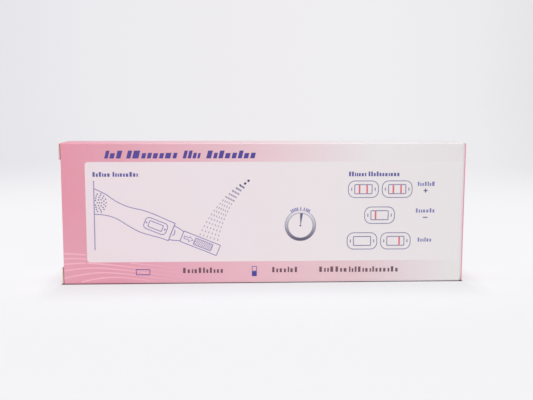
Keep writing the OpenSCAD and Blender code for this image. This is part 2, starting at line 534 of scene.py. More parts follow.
@dataclass(frozen=True)
class BoardCoat:
    """Coated carton board: its gloss, the fine unevenness of its print, and what lies under it."""

    roughness: float = 0.38
    raw_roughness: float = 0.86
    waver: Waver = Waver(0.0, 0.08, 2.5)
    mottle: Waver = Waver(1.0, 0.035, 0.9, 4)
    ripple: Relief = Relief(9.0, 1, 0.05)
    fibre: Relief = Relief(0.22, 3, 0.024)
    print_depth: Pair = (0.12, 0.06)
    cut_depth: Pair = (0.40, 0.36)
    flecks: Patches = Patches(0.35, 5, 0.60, 0.72, 0.35)
    layers: Patches = Patches(0.12, 3, 0.3, 0.7, 0.6)

    def finish(self, s: Shader, colour: Socket, printed: Field | float,
               at: Place) -> Material:
        """Ends a board material: print mottle, fibre relief, and gloss where it is printed.

        Args:
            s: The material's shader.
            colour: The board's colour.
            printed: 1 where the board is coated and printed.
            at: The place.

        Returns:
            The material.
        """
        rough = self.raw_roughness - printed * (self.raw_roughness - self.roughness)
        return s.principled(
            Base_Color=s.shade(colour, self.mottle.on(s, at)), Specular_IOR_Level=0.5,
            Roughness=self.waver.on(s, at) + rough,
            Normal=self.fibre.on(s, at, self.ripple.on(s, at)))

    def cover(self, s: Shader, face: Socket, depth: Field, at: Place) -> Material:
        """Ends a board material that is printed on its outer face only.

        The unprinted board is grey-white with flecks on its face, and layered brown at a cut edge.

        Args:
            s: The material's shader.
            face: The colour of the printed face.
            depth: How deep the place lies under that face.
            at: The place.

        Returns:
            The material.
        """
        inner = s.mix(self.flecks.on(s, at), PRINT.inner, PRINT.inner_fleck)
        cut = s.mix(self.layers.on(s, at), PRINT.raw, PRINT.raw_layer)
        core = s.mix(depth.rise(*self.cut_depth), inner, cut)
        printed = depth.rise(*self.print_depth)
        return self.finish(s, s.mix(printed, core, face), printed, at)


@dataclass(frozen=True)
class TubeBoard:
    """The board of the folded tube: print outside, grey-white inside, brown at cut edges."""

    shape: CartonShape
    front: PaleField = PaleField(-67.83, 110.0, 8.43, 46.84)
    back: PaleField = PaleField(-68.0, 68.0, 9.0, 45.0, 2.2)
    skin: float = 0.1
    flap_inset: float = 1.0
    fold_past: float = 0.3
    slack: float = 0.06
    bleed: Pair = (3.2, 3.0)
    # Painted light: the top face is made lighter by this share, as though more light fell on it
    # from above.
    painted_top_light: float = 0.21
    top_edge: Pair = (0.5, 0.1)
    # Along the creases: a painted highlight that grows along the carton, with real rubbed scuffs on
    # it.
    crease_band: Pair = (0.52, 0.3)
    crease_highlight_run: Pair = (-76.0, 20.0)
    crease_highlight_and_wear: float = 0.42
    least_crease_highlight: float = 0.02
    scuffs: Patches = Patches(0.5, 4, 0.52, 0.72, 0.12, (5.0, 1.0, 1.0))
    coat: BoardCoat = BoardCoat()

    def on_flap(self, at: Place, start: float) -> Field:
        """1 on the dust flaps past a place along the carton, and 0 elsewhere."""
        return abs(at.x).above(start) * (self.shape.half_d - self.flap_inset - abs(at.y)).above(0.0)

    def depth(self, at: Place) -> Field:
        """How deep a place lies under the board's outer face.

        Seen from the end the tube is a rounded rectangle, and the depth is its radius less the
        distance outside the corner centres. The dust flaps follow the same rule seen from the
        front, and the fold at the glued seam has a centre of its own.

        Args:
            at: The place.

        Returns:
            The depth, in millimetres.
        """
        c, r = self.shape, self.shape.crease_r
        fold_y = c.half_d - r
        up = abs(at.z - c.height / 2) - (c.height / 2 - r)
        walls, ends = (r - (side.highest(0.0).hypot(up.highest(0.0)) + side.highest(up).lowest(0.0))
                       for side in (abs(at.y) - fold_y, abs(at.x) - (c.dust_face_x - r)))
        seam = r - (at.y - fold_y).hypot(at.z - c.seam_z)
        walls = walls + at.y.above(fold_y) * (c.seam_z - at.z).above(0.0) * (seam - walls)
        in_flap = self.on_flap(at, c.dust_fold_x).highest(walls.above(c.board + self.slack))
        return walls + in_flap * (ends - walls)

    def material(self) -> Material:
        """Builds the material."""
        s = Shader("tube_board", PRINT.edge_pink)
        at, c, half_h = s.place(), self.shape, self.shape.height / 2
        from_middle = abs(at.z - half_h)
        on_front = self.front.share(at) * (self.skin - c.half_d - at.y).above(0.0)
        on_back = self.back.share(at) * at.y.above(c.half_d - self.skin)
        face = s.mix(on_front, PRINT.fade(s, at), s.ramp(at.x, PRINT.panel))
        face = s.mix(on_back, face, PRINT.flap_white)
        bleed = from_middle.rise(*(half_h - inset for inset in self.bleed))
        face = s.mix(self.on_flap(at, c.dust_fold_x + self.fold_past), face,
                     s.mix(bleed, PRINT.flap_white, PRINT.edge_pink))
        # Painted light: the top face is lightened, as though more light fell on it from above.
        top = at.z.rise(*(c.height - inset for inset in self.top_edge))
        face = s.shade(face, top * self.painted_top_light + 1.0)
        # Painted highlight and wear: a pale line along the creases, brighter towards the right as a
        # highlight, with rubbed scuffs.
        on_crease = (abs(at.y).rise(*(c.half_d - inset for inset in self.crease_band))
                     * from_middle.rise(*(half_h - inset for inset in self.crease_band)))
        crease_highlight_and_wear = at.x.rise(*self.crease_highlight_run) * self.crease_highlight_and_wear + self.scuffs.on(s, at) + self.least_crease_highlight
        face = s.mix(on_crease * crease_highlight_and_wear, face, PRINT.worn)
        return self.coat.cover(s, face, self.depth(at), at)


@dataclass(frozen=True)
class LidBoard:
    """The board of a tuck lid. The left lid is the right one turned half round."""

    shape: CartonShape
    turn: float
    bleed: float = 4.2
    blur: float = 0.15
    crease_blend: float = 0.79
    fold_blend: float = 1.4
    fold_zone: float = 2.0
    away: float = 10.0
    coat: BoardCoat = BoardCoat(roughness=0.40, print_depth=(0.16, 0.09))

    def depth(self, at: Place) -> Field:
        """How deep a place lies under the lid's outer face.

        The outer face is the edge of a shape bounded by the lid's plane, the front plane at the
        crease, the slope towards the tuck fold between the slits, and the tongue's curl about the
        crease. Where two of them meet, the lowest depth is rounded over, as the fold is.

        Args:
            at: The place, for the right lid.

        Returns:
            The depth, in millimetres.
        """
        c = self.shape
        lean = math.atan(c.slope_drop / c.slope_run)
        panel = c.half_l - at.x
        slope = panel * math.cos(lean) - (at.y - c.slope_y) * math.sin(lean)
        between = (c.height / 2 - c.slit - abs(at.z - c.height / 2)).above(0.0)
        panel = panel + between * (slope.lowest(panel) - panel)
        curl = c.curl_r - (at.x - c.hinge_x).hypot(at.y - c.hinge_y)
        curl = curl + (1.0 - between) * at.x.above(c.half_l - self.fold_zone) * self.away
        panel = panel.round_lowest(at.y + c.half_d, self.crease_blend)
        return panel.round_lowest(curl, self.fold_blend)

    def material(self) -> Material:
        """Builds the material."""
        s = Shader("left_lid_board" if self.turn < 0 else "right_lid_board", PRINT.edge_pink)
        at = s.place()
        right = Place(at.x * self.turn, at.y * self.turn, at.z, at.vector)
        start = self.shape.half_l - self.bleed
        on_tongue = right.x.rise(start + self.blur, start - self.blur)
        face = s.mix(on_tongue, PRINT.edge_pink, PRINT.flap_white)
        return self.coat.cover(s, face, self.depth(right), at)


@dataclass(frozen=True)
class CreaseBoard:
    """The coated paper that runs over a lid crease; U of its map is the way round the fold."""

    change: float
    blur: float = 0.05
    worn: Patches = Patches(0.8, 4, 0.62, 0.78, 0.25)

    def material(self, name: str) -> Material:
        """Builds the material."""
        s = Shader(name, PRINT.edge_pink)
        at = s.place()
        past = s.along_sheet().rise(self.change - self.blur, self.change + self.blur)
        colour = s.mix(past, PRINT.fade(s, at), PRINT.edge_pink)
        colour = s.mix(self.worn.on(s, at), colour, PRINT.flap_white)
        return BoardCoat().finish(s, colour, 1.0, at)


@dataclass(frozen=True)
class Ink:
    """Offset ink: a tone with the slight grain of a halftone, a little glossier than the board."""

    name: str
    colour: Rgb
    grain: float = 0.10
    grain_size: float = 0.35
    gloss: Waver = Waver(0.42, 0.1, 1.2, 2)

    def finish(self, s: Shader, colour: Socket, at: Place) -> Material:
        """Ends an ink material with its gloss."""
        return s.principled(Base_Color=colour, Roughness=self.gloss.on(s, at),
                            Specular_IOR_Level=0.45)

    def material(self) -> Material:
        """Builds the material."""
        s = Shader(self.name, self.colour)
        at = s.place()
        lighter = tuple(c + (255 - c) * self.grain * 2 for c in self.colour)
        grain = Patches(self.grain_size, 3, 0.35, 0.75).on(s, at)
        return self.finish(s, s.mix(grain, self.colour, lighter), at)


@dataclass(frozen=True)
class FadingInk(Ink):
    """Ink whose tone runs with the height; its colour is that of its foot."""

    stops: Stops = ()
    halftone: Waver = Waver(1.0, 0.12, 0.35)

    def material(self) -> Material:
        """Builds the material."""
        s = Shader(self.name, self.colour)
        at = s.place()
        colour = s.shade(s.ramp(at.z, self.stops), self.halftone.on(s, at))
        return self.finish(s, colour, at)


@dataclass(frozen=True)
class Foil:
    """Aluminium laminate: creased, with pressed ribs across the heat seal."""

    half_l: float
    half_w: float
    middle_z: float
    seal: float
    blur: float = 0.3
    rib_pitch: float = 0.9
    rib_relief: Pair = (0.12, 0.8)
    facet: float = 5.5
    facet_edge: float = 0.10
    crumple: float = 6.0
    crumple_relief: Pair = (0.35, 0.7)
    dull_to_bright: Pair = (0.35, 0.7)
    gloss: Waver = Waver(0.32, 0.16, 3.0)
    view: Rgb = (198, 201, 206)
    dull: Rgb = (196, 199, 204)
    bright: Rgb = (222, 224, 227)

    def material(self) -> Material:
        """Builds the material."""
        s = Shader("pouch_foil", self.view)
        at = s.place()
        inside = (self.half_l - abs(at.x)).lowest(self.half_w - abs(at.z - self.middle_z))
        sealed = inside.rise(self.seal + self.blur, self.seal - self.blur)
        ribs = (inside * (2 * math.pi / self.rib_pitch)).op("SINE") * 0.5 + 0.5
        creases = s.cell_edges(at, self.facet).rise(0.0, self.facet_edge)
        crumple = s.noise(at, self.crumple, 5)
        relief = s.bump(creases * (1.0 - sealed) + crumple, *self.crumple_relief)
        tone = s.mix(crumple.rise(*self.dull_to_bright), self.dull, self.bright)
        return s.principled(Base_Color=tone, Metallic=1.0, Roughness=self.gloss.on(s, at),
                            Normal=s.bump(ribs * sealed, *self.rib_relief, relief))


@dataclass(frozen=True)
class LeafletPaper:
    """Thin uncoated paper with pale rows of print that stand for its text."""

    half_l: float
    row_pitch: float = 2.6
    row_foot: Pair = (0.30, 0.36)
    row_head: Pair = (0.70, 0.64)
    margin: Pair = (4.0, 4.4)
    words: Patches = Patches(2.2, 1, 0.40, 0.46, 0.5, (1.0, 1.0, 6.0))
    mist: Waver = Waver(0.25, 0.5, 7.0)
    wavy: Relief = Relief(14.0, 2, 0.4, 0.4)
    fibre: Relief = Relief(0.3, 4, 0.02)
    gloss: Waver = Waver(0.80, 0.1, 1.0, 2)
    view: Rgb = (240, 239, 234)
    light: Rgb = (243, 242, 237)
    dark: Rgb = (233, 232, 226)
    print_grey: Rgb = (120, 120, 132)

    def material(self) -> Material:
        """Builds the material."""
        s = Shader("leaflet_paper", self.view)
        at = s.place()
        row = (at.z * (1 / self.row_pitch)).op("FRACT")
        line = row.rise(*self.row_foot) * row.rise(*self.row_head)
        half = self.half_l / 2
        column = abs(abs(at.x) - half).rise(*(half - inset for inset in self.margin))
        mist = s.mix(self.mist.on(s, at), self.light, self.dark)
        colour = s.mix(line * self.words.on(s, at) * column, mist, self.print_grey)
        return s.principled(Base_Color=colour, Normal=self.fibre.on(s, at, self.wavy.on(s, at)),
                            Specular_IOR_Level=0.3, Roughness=self.gloss.on(s, at))


# Shapes


@dataclass(frozen=True)
class Plane:
    """A flat face that carries print: a point on it, and its two directions seen from outside."""

    origin: Triple
    right: Triple
    up: Triple = (0, 0, 1)

    def place(self, points: np.ndarray) -> np.ndarray:
        """Puts points drawn on the face into the carton's frame.

        Args:
            points: Rows of the place to the right, the place up, and the height over the face.

        Returns:
            origin + right u + up v + outward w, row by row, with outward = right x up.
        """
        axes = np.array([self.right, self.up, np.cross(self.right, self.up)])
        return np.asarray(self.origin) + points @ axes


@dataclass
class MeshParts:
    """Vertices and faces of a piece, gathered shape by shape."""

    points: list[np.ndarray] = field(default_factory=list)
    faces: list[list[int]] = field(default_factory=list)
    count: int = 0

    def add(self, points: np.ndarray, faces: Sequence[np.ndarray]) -> None:
        """Adds one shape.

        Args:
            points: Its vertices, in millimetres.
            faces: Arrays of vertex numbers, each array a set of faces of one size.
        """
        self.points.append(points)
        for group in faces:
            self.faces.extend((group + self.count).tolist())
        self.count += len(points)

    def build(self, name: str, material: Material,
              smooth: bool = False) -> bpy.types.Object:
        """Makes the object at the origin, with its place in its mesh.

        Args:
            name: The piece's name.
            material: Its finish.
            smooth: Whether its faces are shaded as one surface.

        Returns:
            The object.
        """
        mesh = bpy.data.meshes.new(name)
        mesh.from_pydata((np.concatenate(self.points) * MM).tolist(), [], self.faces)
        mesh.validate()
        mesh.materials.append(material)
        if smooth:
            mesh.polygons.foreach_set("use_smooth", np.ones(len(mesh.polygons), bool))
        piece = bpy.data.objects.new(name, mesh)
        bpy.context.scene.collection.objects.link(piece)
        log.info("%s: %d faces", name, len(self.faces))
        return piece


def round_trip(count: int) -> tuple[np.ndarray, np.ndarray]:
    """The numbers of the points on a ring, and of the point after each."""
    i = np.arange(count)
    return i, (i + 1) % count


def arc(centre: Pair, radius: float, start: float, end: float, steps: int) -> np.ndarray:
    """Points on a circle: centre + radius (cos a, sin a), with a from start to end in degrees."""
    angle = np.radians(np.linspace(start, end, steps + 1))
    return np.asarray(centre) + radius * np.stack([np.cos(angle), np.sin(angle)], 1)


def circle(centre: Pair, radius: float, steps: int) -> np.ndarray:
    """Points once round a circle, anticlockwise."""
    return arc(centre, radius, 0, 360, steps)[:-1]


def rounded_box(centre: Pair, width: float, height: float, radius: float, turn: float = 0.0,
                steps: int = 6) -> np.ndarray:
    """The outline of a rounded rectangle, anticlockwise: a quarter circle round each corner.

    Args:
        centre: Its middle.
        width: Its size along its own first axis.
        height: Its size along its second axis.
        radius: The corners' radius.
        turn: How far it is turned, in degrees.
        steps: The number of segments in each corner.

    Returns:
        The outline's points.
    """
    dx, dy = width / 2 - radius, height / 2 - radius
    corners = [arc((sx * dx, sy * dy), radius, a, a + 90, steps)
               for sx, sy, a in ((1, 1, 0), (-1, 1, 90), (-1, -1, 180), (1, -1, 270))]
    return turned(np.concatenate(corners), turn) + np.asarray(centre)


def turned(points: np.ndarray, degrees: float) -> np.ndarray:
    """Points turned anticlockwise about the origin: (x cos a - y sin a, x sin a + y cos a)."""
    a = math.radians(degrees)
    return points @ np.array([[math.cos(a), math.sin(a)], [-math.sin(a), math.cos(a)]])


def spline(knots: Sequence[Pair], steps: int = 10) -> np.ndarray:
    """A smooth curve through its knots.

    Between two knots p1 and p2 with neighbours p0 and p3, a share t of the way along, the curve is
    half of 2 p1 + (p2 - p0) t + (2 p0 - 5 p1 + 4 p2 - p3) t^2 + (3 p1 - p0 - 3 p2 + p3) t^3.

    Args:
        knots: The points that it passes through.
        steps: The number of segments between two knots.

    Returns:
        The curve's points.
    """
    k = np.asarray(knots, float)
    p = np.concatenate([2 * k[:1] - k[1:2], k, 2 * k[-1:] - k[-2:-1]])
    t = (np.arange(steps) / steps)[None, :, None]
    p0, p1, p2, p3 = (p[i:len(p) - 3 + i, None] for i in range(4))
    body = 0.5 * (2 * p1 + (p2 - p0) * t + (2 * p0 - 5 * p1 + 4 * p2 - p3) * t ** 2
                  + (3 * p1 - p0 - 3 * p2 + p3) * t ** 3)
    return np.concatenate([body.reshape(-1, 2), k[-1:]])


class PrintSheet:
    """Ink on one flat face, as closed plates a few hundredths of a millimetre thick."""

    def __init__(self, plane: Plane, proud: float = 0.02, sunk: float = 0.01) -> None:
        """Starts a sheet.

        Args:
            plane: The face that carries the ink.
            proud: How far the ink stands over the face.
            sunk: How far it reaches into the board.
        """
        self.plane = plane
        self.proud = proud
        self.sunk = sunk
        self.parts = MeshParts()

    def lift(self, front: np.ndarray) -> np.ndarray:
        """Puts a front outline and its copy under the face into the carton's frame."""
        levels = np.repeat([self.proud, -self.sunk], len(front))[:, None]
        return self.plane.place(np.concatenate([np.concatenate([front, front]), levels], 1))

    def fill(self, outline: Sequence[Pair] | np.ndarray) -> None:
        """Adds a filled plate: its outline on two levels, joined round it.

        Args:
            outline: Its corners as seen from outside, anticlockwise.
        """
        corners = np.asarray(outline, float)
        n = len(corners)
        i, j = round_trip(n)
        rim = np.stack([i, i + n, j + n, j], 1)
        self.parts.add(self.lift(corners), [i[None], (i[::-1] + n)[None], rim])

    def stroke(self, line: Sequence[Pair] | np.ndarray, width: float | np.ndarray,
               closed: bool = False) -> None:
        """Adds a line: a band of the given width carried along a path.

        Each point gets a left and a right edge, half the width away along the normal of the chord
        between its neighbours, and further by one over the cosine of half the bend.

        Args:
            line: The line's middle.
            width: Its width, or one for each point.
            closed: Whether its end joins its start.
        """
        path = np.asarray(line, float)
        n = len(path)
        before, after = np.roll(path, 1, 0), np.roll(path, -1, 0)
        if not closed:
            before[0], after[-1] = path[0] * 2 - path[1], path[-1] * 2 - path[-2]
        step_in, step_out = (step / np.linalg.norm(step, axis=1, keepdims=True)
                             for step in (path - before, after - path))
        way = step_in + step_out
        size = np.linalg.norm(way, axis=1, keepdims=True)
        way /= size
        side = np.stack([-way[:, 1], way[:, 0]], 1) * np.clip(2 / size, 1, 1.6)
        half = side * (np.broadcast_to(width, n)[:, None] / 2)
        points = self.lift(np.concatenate([path - half, path + half]))
        i, j = round_trip(n)
        if not closed:
            i, j = i[:-1], j[:-1]
        under = 2 * n
        quads = [np.stack([i, j, j + n, i + n], 1),
                 np.stack([i + n, j + n, j, i], 1) + under,
                 np.stack([i, i + under, j + under, j], 1),
                 np.stack([j + n, j + n + under, i + n + under, i + n], 1)]
        if not closed:
            quads.append(np.array([[n, n + under, under, 0],
                                   [n - 1, n - 1 + under, 2 * n - 1 + under, 2 * n - 1]]))
        self.parts.add(points, quads)

    def box(self, line: float, *outline: object) -> None:
        """Adds a line round a rounded rectangle, which is given as to rounded_box."""
        self.stroke(rounded_box(*outline), line, True)

    def words(self, start: float, end: float, base: float, height: float, count: int,
              seed: int, fill: float = 0.74, slant: float = 0.0) -> None:
        """Adds a row of plain blocks in the rhythm of a printed word.

        The blocks' widths and heights are drawn from a seeded generator. The widths are scaled so
        that the last block ends at the row's end, and each block is a parallelogram leaning by
        the slant.

        Args:
            start: The row's left end.
            end: Its right end.
            base: Its foot.
            height: The height of its tallest block.
            count: The number of blocks.
            seed: The generator's seed.
            fill: The share of the row that the blocks cover.
            slant: How far the top of a block leans right, as a share of its height.
        """
        draw = np.random.default_rng(seed)
        widths = draw.uniform(0.7, 1.3, count)
        heights = height * draw.choice([0.68, 0.72, 1.0], count, p=[0.4, 0.3, 0.3])
        heights[0] = height
        pitch = widths * (end - start) / (widths.sum() - (1 - fill) * widths[-1])
        left = start + np.cumsum(pitch) - pitch
        for x, w, h in zip(left, pitch * fill, heights):
            lean = slant * h
            self.fill([(x, base), (x + w, base), (x + w + lean, base + h), (x + lean, base + h)])

    def finish(self, name: str, ink: Ink, body: str = "tube", slot: str = "printed_board") -> None:
        """Makes the piece and lets it ride.

        Args:
            name: The piece's name.
            ink: Its ink.
            body: The body that carries it.
            slot: Not used.
        """
        piece = self.parts.build(name, ink.material())
        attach(piece, body)


# Print

TITLE_INK = Ink("title_ink", (62, 46, 136), 0.06)
HEADING_INK = Ink("heading_ink", (72, 66, 142))
LABEL_INK = Ink("label_ink", (104, 102, 166), 0.14)
LINE_INK = Ink("line_ink", (130, 114, 170), 0.14)
GRIP_INK = Ink("grip_ink", (104, 88, 148), 0.10)
WINDOW_INK = Ink("window_ink", (122, 116, 154), 0.14)
RESULT_INK = Ink("result_ink", (216, 84, 104))
CODE_INK = Ink("code_ink", (90, 52, 68), 0.12, 0.22)
MARK_INK = Ink("mark_ink", (52, 48, 142), 0.06)
DIAL_INK = Ink("dial_ink", (128, 124, 144), 0.12)
DARK_INK = Ink("dark_ink", (82, 78, 116), 0.08)
WAVE_INK = Ink("wave_ink", (236, 174, 190), 0.05)
TEXT_INK = Ink("text_ink", (142, 134, 164), 0.14)
STREAM_INK = FadingInk("stream_ink", (180, 166, 182), stops=(
    (15.0, (180, 166, 182)), (30.0, (174, 162, 180)), (33.2, (172, 160, 180)),
    (35.4, (158, 148, 178)), (37.2, (108, 100, 142)), (38.2, (46, 38, 92)),
    (40.5, (46, 38, 92))))


@dataclass
class FrontPrint:
    """What is printed on the front panel over its fade and its pale field.

    Places are millimetres on the panel: to the right of the carton's middle, and up.
    """

    plane: Plane
    title_words: tuple[tuple[float, float, int], ...] = (
        (-60.5, -54.4, 3), (-52.3, -33.5, 8), (-31.1, -24.7, 4), (-22.2, -3.9, 8))
    title_base: float = 48.15
    title_height: float = 2.95
    title_slant: float = 0.26
    line: float = 0.34
    tip_place: Pair = (-35.1, 19.8)
    tip_turn: float = -22.2
    windows: tuple[tuple[float, float, tuple[float, ...]], ...] = (
        (38.0, 36.2, (-1.5, 1.42)), (51.1, 36.2, (-1.5, 1.48)), (44.45, 26.1, (-1.55,)),
        (37.8, 16.07, ()), (50.85, 16.03, (1.45,)))
    case: Triple = (11.6, 6.4, 2.5)
    window: Triple = (6.7, 3.5, 0.25)
    side_dot: Triple = (4.55, 0.6, 0.42)
    result: Pair = (1.6, 0.62)
    plus: Pair = (62.18, 35.59)
    minus: Pair = (62.3, 25.18)
    dial: Pair = (13.79, 22.26)
    dial_r: float = 5.38
    dial_band: float = 1.17
    dial_rim: float = 0.18
    dial_marks: tuple[float, ...] = (124, 118.5, 113, 107.5, 102, 91.5, 79, 71, 65.5, 60.5)
    mark_shape: Triple = (6.0, 7.1, 3.6)
    stream_left: tuple[Pair, ...] = ((-6.2, 39.7), (-18.67, 32.35), (-24.7, 19.0))
    stream_right: tuple[Pair, ...] = ((-6.1, 39.5), (-14.9, 30.2), (-18.0, 16.9))
    stream_counts: tuple[int, ...] = (1, 1, 2, 3, 3, 4, 4, 5, 5, 6, 6, 6, 6, 6, 6, 6, 6)
    first_rows: int = 2
    bar_rows: int = 7
    first_drop: Pair = (0.95, 0.86)
    bar_length: float = 0.66
    drop: Pair = (0.84, 0.40)
    wave_count: int = 7
    wave_bend: float = 4.0
    wave_width: float = 0.56
    wave_runs: tuple[Pair, ...] = ((12.2, -1.7), (-76.0, 3.2), (0.02, 0.05), (0.10, 0.012))
    wave_x: Triple = (-76.6, -31.0, -30.0)
    wave_thin: Triple = (30.0, 0.1, 1.0)
    wave_least: int = 6
    margin: Triple = (0.8, 8.1, -68.2)

    def sheet(self, layer: int = 0) -> PrintSheet:
        """A fresh sheet on the front panel; layers that may cross lie at their own heights."""
        return PrintSheet(self.plane, 0.02 + 0.005 * layer)

    def rows(self, name: str, ink: Ink, fill: float, rows: Sequence[tuple],
             slant: float = 0.0) -> None:
        """Prints rows of blocks as one piece.

        Args:
            name: The piece's name.
            ink: Its ink.
            fill: The share of a row that its blocks cover.
            rows: Start, end, foot, height, number of blocks and seed of each row.
            slant: How far the blocks lean.
        """
        sheet = self.sheet()
        for row in rows:
            sheet.words(*row, fill, slant)
        sheet.finish(name, ink)

    def title(self) -> None:
        """The bold leaning title, as blocks."""
        self.rows("front_title", TITLE_INK, 0.70,
                  [(start, end, self.title_base, self.title_height, count, 11 + k)
                   for k, (start, end, count) in enumerate(self.title_words)], self.title_slant)

    def captions(self) -> None:
        """The small headings and labels, with the plus and the minus between them."""
        self.rows("front_headings", HEADING_INK, 0.66, (
            (-65.0, -58.6, 41.25, 1.8, 6, 21), (-57.5, -48.0, 41.25, 1.8, 9, 22),
            (32.35, 39.0, 41.2, 1.8, 7, 23), (39.9, 51.8, 41.2, 1.8, 11, 24)))
        self.rows("front_labels", LABEL_INK, 0.60, (
            (59.1, 65.6, 37.4, 1.65, 7, 25), (58.6, 65.8, 27.05, 1.65, 7, 26),
            (59.6, 64.9, 15.65, 1.65, 6, 27)))
        sheet, arm, dash, half = self.sheet(), 0.78, 0.88, 0.21
        corner = np.array([[-half, -half], [-half, -arm], [half, -arm]])
        cross = np.concatenate([turned(corner, a) for a in (0, 90, 180, 270)])
        sheet.fill(cross + np.array(self.plus))
        x, z = self.minus
        sheet.fill([(x - dash, z - half), (x + dash, z - half), (x + dash, z + half),
                    (x - dash, z + half)])
        sheet.finish("front_plus_minus", DARK_INK)

    def tip(self, along: float, across: float) -> Pair:
        """A place on the drawn stick, from its collar along its axis and across it."""
        moved = turned(np.array([[along, across]]), self.tip_turn)[0]
        return (self.tip_place[0] + moved[0], self.tip_place[1] + moved[1])

    def drawing(self) -> None:
        """The line drawing of a stick held level, with its window, collar, arrow and pad."""
        sheet, w, turn, tip = self.sheet(), self.line, self.tip_turn, self.tip
        sheet.stroke([(-64.75, 13.2), (-64.65, 39.8)], w * 1.1)
        upper = [(-64.5, 36.7), (-60.4, 34.7), (-56.4, 31.9), (-51.6, 29.7), (-46.6, 28.5),
                 (-42.4, 27.0), (-38.0, 25.0), tip(-0.5, 3.6)]
        lower = [(-64.6, 27.0), (-60.4, 26.6), (-56.0, 25.1), (-51.8, 22.4), (-47.6, 20.1),
                 (-43.2, 18.7), (-40.0, 17.8), tip(-0.5, -3.6)]
        for edge in (upper, lower):
            sheet.stroke(spline(edge), w)
        sheet.stroke([tip(-0.5, 3.7), tip(-0.5, -3.7)], w * 1.2)
        sheet.box(w, tip(-7.0, -0.1), 8.9, 4.5, 1.4, turn)
        sheet.box(w, tip(-7.0, -0.1), 5.5, 2.4, 0.25, turn, 2)
        for along in (-10.7, -3.3):
            sheet.fill(rounded_box(tip(along, -0.1), 0.7, 0.7, 0.3, 0, 3))
        for collar in (((-0.3, 2.6), (1.4, 2.4), (3.7, 1.9)),
                       ((-0.3, -3.1), (1.6, -2.6), (3.7, -1.9))):
            sheet.stroke(spline([tip(*place) for place in collar], 4), w)
        sheet.stroke(arc(tip(-1.2, 0.0), 1.9, turn - 40, turn + 40, 8), w)
        sheet.box(w, tip(11.2, 0.0), 15.0, 4.3, 0.25, turn, 2)
        arrow = ((4.6, -0.45), (6.7, -0.45), (6.7, -1.05), (8.2, 0.0), (6.7, 1.05), (6.7, 0.45),
                 (4.6, 0.45))
        sheet.stroke([tip(*place) for place in arrow], w * 0.8, True)
        sheet.box(w * 0.8, tip(12.4, 0.0), 7.2, 2.7, 0.2, turn, 2)
        for x in 9.15 + np.arange(11) * 0.65:
            sheet.stroke([tip(x - 0.3, -1.25), tip(x + 0.3, 1.25)], 0.24)
        sheet.finish("front_stick_drawing", LINE_INK)

    def grips(self) -> None:
        """The dots of the drawn stick's grip, on rings about a point at its end."""
        sheet = self.sheet()
        for ring, spread, count in ((0.9, 78, 3), (1.75, 78, 5), (2.6, 78, 7), (3.45, 74, 8),
                                    (4.2, 56, 7)):
            for dot in arc((-64.35, 31.4), ring, -spread, spread, count - 1):
                sheet.fill(rounded_box(dot, 0.56, 0.56, 0.27, 0, 3))
        sheet.finish("front_grip_dots", GRIP_INK)

    def stream(self) -> None:
        """Falling drops: rows of dashes between two curves that part, fainter row by row.

        Each side follows (1-t)^2 a + 2 t (1-t) b + t^2 c, and a dash points the way that lies
        between the two sides' own. In the first rows the dashes touch, as bars across the stream.
        """
        sheet = self.sheet()
        a, b, c = (np.array(knots) for knots in zip(self.stream_left, self.stream_right))
        for k, count in enumerate(self.stream_counts):
            t = k / (len(self.stream_counts) - 1)
            ends = (1 - t) ** 2 * a + 2 * t * (1 - t) * b + t ** 2 * c
            ways = (1 - t) * (b - a) + t * (c - b)
            gap = np.linalg.norm(ends[1] - ends[0]) / max(count - 1, 1)
            long, wide = self.drop
            if k < self.bar_rows:
                long, wide = self.first_drop if k < self.first_rows else (self.bar_length, gap)
            for share in np.linspace(0, 1, count) if count > 1 else (0.5,):
                middle = ends[0] + (ends[1] - ends[0]) * share
                way = ways[0] + (ways[1] - ways[0]) * share
                sheet.fill(rounded_box(middle, long, wide, min(long, wide) * 0.42,
                                       math.degrees(math.atan2(way[1], way[0])), 3))
        sheet.finish("front_stream_drops", STREAM_INK)

    def results(self) -> None:
        """Five result windows: a rounded case, a viewing window, two side dots, and red lines."""
        cases, lines = self.sheet(), self.sheet(1)
        for x, z, marks in self.windows:
            cases.box(self.line, (x, z), *self.case)
            cases.box(self.line * 1.1, (x, z), *self.window, 0, 2)
            away, half, width = self.side_dot
            for side in (x - away, x + away):
                cases.stroke([(side, z - half), (side, z + half)], width)
            half, width = self.result
            for mark in marks:
                lines.stroke([(x + mark, z - half), (x + mark, z + half)], width)
        cases.finish("front_result_windows", WINDOW_INK)
        lines.finish("front_result_lines", RESULT_INK)

    def timer(self) -> None:
        """The timer: a ring that darkens downwards, a wedge for a hand, and marks over it."""
        ring, thin, hand, marks = self.sheet(), self.sheet(1), self.sheet(2), self.sheet()
        x, z = self.dial
        outer, inner = self.dial_r + self.dial_band / 2, self.dial_r - self.dial_band / 2
        ring.stroke(circle(self.dial, self.dial_r, 72), self.dial_band, True)
        ring.finish("front_timer_ring", FadingInk("timer_ink", (88, 78, 100), stops=(
            (z - outer, (88, 78, 100)), (z - inner, (100, 92, 114)), (z - 2.6, (132, 126, 146)),
            (z, (176, 171, 187)), (z + 2.6, (200, 195, 208)), (z + outer, (226, 221, 229)))))
        for radius in (outer, inner):
            thin.stroke(circle(self.dial, radius, 72), self.dial_rim, True)
        thin.finish("front_timer_rims", DIAL_INK)
        hand.fill([(x - 0.07, z + 0.5), (x + 0.16, z + 0.5), (x + 1.0, z + 4.75),
                   (x - 0.15, z + 4.75)])
        hand.fill(rounded_box(self.dial, 0.72, 0.72, 0.34, 0, 4))
        hand.finish("front_timer_hand", DARK_INK)
        near, far, span = self.mark_shape
        for start in self.dial_marks:
            mark = np.concatenate([arc(self.dial, near, start, start - span, 2),
                                   arc(self.dial, far, start - span, start, 2)])
            marks.fill(mark[::-1])
        marks.finish("front_timer_marks", LABEL_INK)

